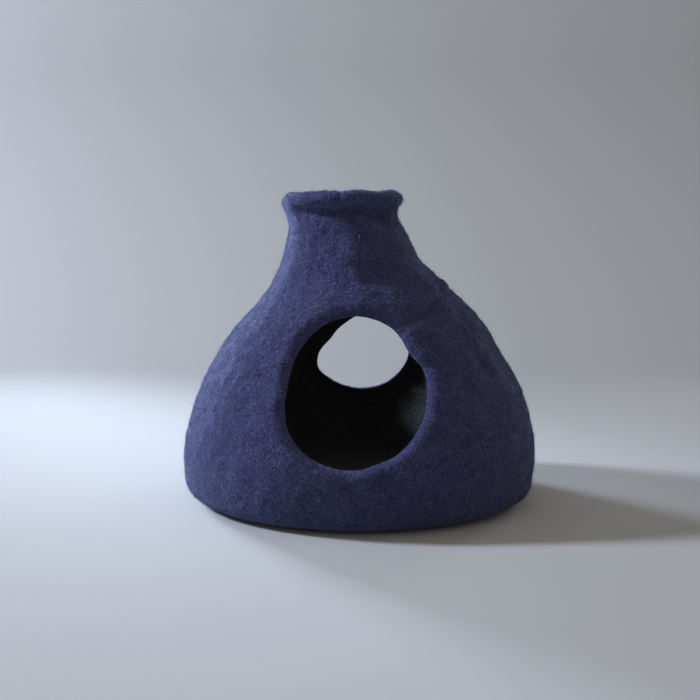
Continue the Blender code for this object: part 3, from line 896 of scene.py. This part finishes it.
def curl_mesh(curls, triangles):
    """Hairs as tubes of three sides, closed by a point at both ends, carried along a
    curl: a straight run along the skin plus a step that turns round the run's own line.
    Each tube swells from its foot and thins to its tip as a half wave."""
    chance = np.random.default_rng(curls.seed)
    count, steps = curls.hairs, curls.steps
    middle, normal, heading = spread_over(triangles, count, chance)
    sideways = np.cross(normal, heading)
    share = np.linspace(0, 1, steps)[None, :, None]
    length = chance.uniform(curls.shortest, curls.longest, (count, 1, 1))
    turns = chance.uniform(*CURL_TURNS, (count, 1, 1))
    start = chance.uniform(0, 2 * np.pi, (count, 1, 1))
    wide = curls.wide * chance.uniform(*CURL_SPREAD, (count, 1, 1))
    angle = 2 * np.pi * turns * share + start
    tip_rise = (1 - CURL_FOOT_RISE) * chance.uniform(size=(count, 1, 1))
    rise = curls.rise * (CURL_FOOT_RISE + tip_rise * share)
    path = (middle[:, None] + heading[:, None] * (length * (share - 0.5) + wide * np.sin(angle))
            + sideways[:, None] * CURL_ASIDE * wide * np.cos(angle) + normal[:, None] * rise)
    along = unit(np.gradient(path, axis=1))
    across = unit(np.cross(along, normal[:, None]))
    over = np.cross(across, along)
    around = (np.arange(HAIR_CORNERS) * 2 * np.pi / HAIR_CORNERS)[:, None]
    half_wave = np.sin(np.pi * (END_THINNING + (1 - 2 * END_THINNING) * share))
    radius = curls.radius * np.sqrt(half_wave)[..., None]
    rings = path[:, :, None] + radius * (across[:, :, None] * np.cos(around)
                                         + over[:, :, None] * np.sin(around))
    points = np.concatenate([path[:, :1], rings.reshape(count, -1, 3), path[:, -1:]], axis=1)

    step, side = np.meshgrid(np.arange(steps - 1), np.arange(HAIR_CORNERS), indexing="ij")
    after = (side + 1) % HAIR_CORNERS
    ring = 1 + step * HAIR_CORNERS
    walls = np.stack([ring + side, ring + HAIR_CORNERS + side,
                      ring + HAIR_CORNERS + after, ring + after], axis=-1).reshape(-1, 4)
    side = np.arange(HAIR_CORNERS)
    after = (side + 1) % HAIR_CORNERS
    last = points.shape[1] - 1
    ends = np.concatenate([
        np.stack([np.zeros_like(side), 1 + side, 1 + after], axis=1),
        np.stack([last - HAIR_CORNERS + side, np.full_like(side, last),
                  last - HAIR_CORNERS + after], axis=1)])
    first = np.arange(count)[:, None, None] * points.shape[1]

    # Every face takes all of its hair's square.
    wall_map = np.broadcast_to([[0, 0], [1, 0], [1, 1], [0, 1]], (len(walls), 4, 2))
    end_map = np.broadcast_to([[0, 0], [1, 0], [0.5, 1]], (len(ends), 3, 2))
    shape, _ = mesh_object(
        curls.name, points.reshape(-1, 3),
        [(first + walls).reshape(-1, 4), (first + ends).reshape(-1, 3)],
        [own_squares(count, wall_map), own_squares(count, end_map)])
    tint_hairs(shape, middle, chance.uniform(size=count))
    return shape


curl_wool = hair_material("navy_curls", (
    (0.0, (0.060, 0.065, 0.170, 1)),
    (0.7, (0.120, 0.132, 0.290, 1)),
    (1.0, (0.220, 0.240, 0.420, 1)),
))
stray_wool = hair_material("pale_hair", (
    (0.0, (0.10, 0.12, 0.26, 1)),
    (0.8, (0.20, 0.22, 0.34, 1)),
    (1.0, (0.40, 0.38, 0.36, 1)),
))
for curls, wool in ((NAP_CURLS, curl_wool), (STRAYS, stray_wool)):
    curled_hairs = curl_mesh(curls, napped_skin)
    curled_hairs.data.materials.append(wool)
    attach(curled_hairs, "root")


# ---- Floor, light and camera --------------------------------------------------------
# A plain pale floor that sweeps up behind, a large soft lamp far out at the left and two
# weak ones behind that edge both sides.  The camera stands level with the collar and
# looks a little down.

FLOOR_HALF = 3.0         # half the floor's width, how far it comes forward, and its rise
SWEEP_START = 1.2        # where the floor starts to curve up, behind the cave
SWEEP_RADIUS = 0.8       # of that curve
SWEEP_STEPS = 24         # points along the curve
EYE = (-0.0133, -1.75, HEIGHT)
SENSOR = 36
LENS = 64.3              # for a view 98 cm wide at 1.75 m
PITCH = math.radians(7.2)


def swept_floor():
    """Floor and backdrop: a straight run, a quarter circle and a straight rise, carried
    sideways."""
    arc = np.linspace(0, np.pi / 2, SWEEP_STEPS)
    line = np.concatenate([
        [[-FLOOR_HALF, 0.0]],
        np.stack([SWEEP_START + SWEEP_RADIUS * np.sin(arc),
                  SWEEP_RADIUS * (1 - np.cos(arc))], axis=-1),
        [[SWEEP_START + SWEEP_RADIUS, FLOOR_HALF]]])
    points = np.concatenate([
        np.column_stack([np.full(len(line), side * FLOOR_HALF), line]) for side in (-1, 1)])
    number = np.arange(len(line) - 1)
    corners = np.stack([number, number + len(line), number + len(line) + 1, number + 1],
                       axis=-1)
    mesh = bpy.data.meshes.new("floor")
    mesh.from_pydata(points.tolist(), [], corners.tolist())
    mesh.shade_smooth()
    floor = bpy.data.objects.new("floor", mesh)
    bpy.context.scene.collection.objects.link(floor)
    material = bpy.data.materials.new("pale_floor")
    material.use_nodes = True
    shader = material.node_tree.nodes["Principled BSDF"]
    shader.inputs["Base Color"].default_value = (0.40, 0.40, 0.395, 1)
    shader.inputs["Roughness"].default_value = 0.9
    floor.data.materials.append(material)
    return floor


swept_floor()

# Sizes are in metres, spreads in degrees and powers in watts.
Lamp = namedtuple("Lamp", "name place target size spread power colour")
LAMPS = (
    Lamp("key", (-3.2, 0.3, 2.2), (0, 0, 0.2), 0.55, 180, 202, (0.72, 0.82, 1.0)),
    Lamp("left_rim", (-1.3, 1.65, 0.55), (0, 0, 0.2), 0.5, 40, 6.4, (0.68, 0.80, 1.0)),
    Lamp("right_rim", (1.3, 1.65, 0.55), (0, 0, 0.2), 0.5, 40, 0.6, (0.90, 0.94, 1.0)),
)
for lamp in LAMPS:
    light = bpy.data.lights.new(lamp.name, "AREA")
    light.size = lamp.size
    light.spread = math.radians(lamp.spread)
    light.energy = lamp.power
    light.color = lamp.colour
    stand = bpy.data.objects.new(lamp.name, light)
    stand.location = lamp.place
    away = np.array(lamp.place) - np.array(lamp.target)
    heading = math.atan2(away[0], -away[1])
    stand.rotation_euler = (math.acos(away[2] / np.linalg.norm(away)), 0, heading)
    bpy.context.scene.collection.objects.link(stand)

world = bpy.data.worlds.new("room")
world.use_nodes = True
surroundings = world.node_tree.nodes["Background"]
surroundings.inputs["Color"].default_value = (1.0, 0.93, 0.86, 1)
surroundings.inputs["Strength"].default_value = 0.385
bpy.context.scene.world = world
bpy.context.scene.view_settings.view_transform = "Standard"

lens = bpy.data.cameras.new("camera")
lens.lens = LENS
lens.sensor_width = SENSOR
camera = bpy.data.objects.new("camera", lens)
camera.location = EYE
camera.rotation_euler = (math.pi / 2 - PITCH, 0, 0)
bpy.context.scene.collection.objects.link(camera)
bpy.context.scene.camera = camera
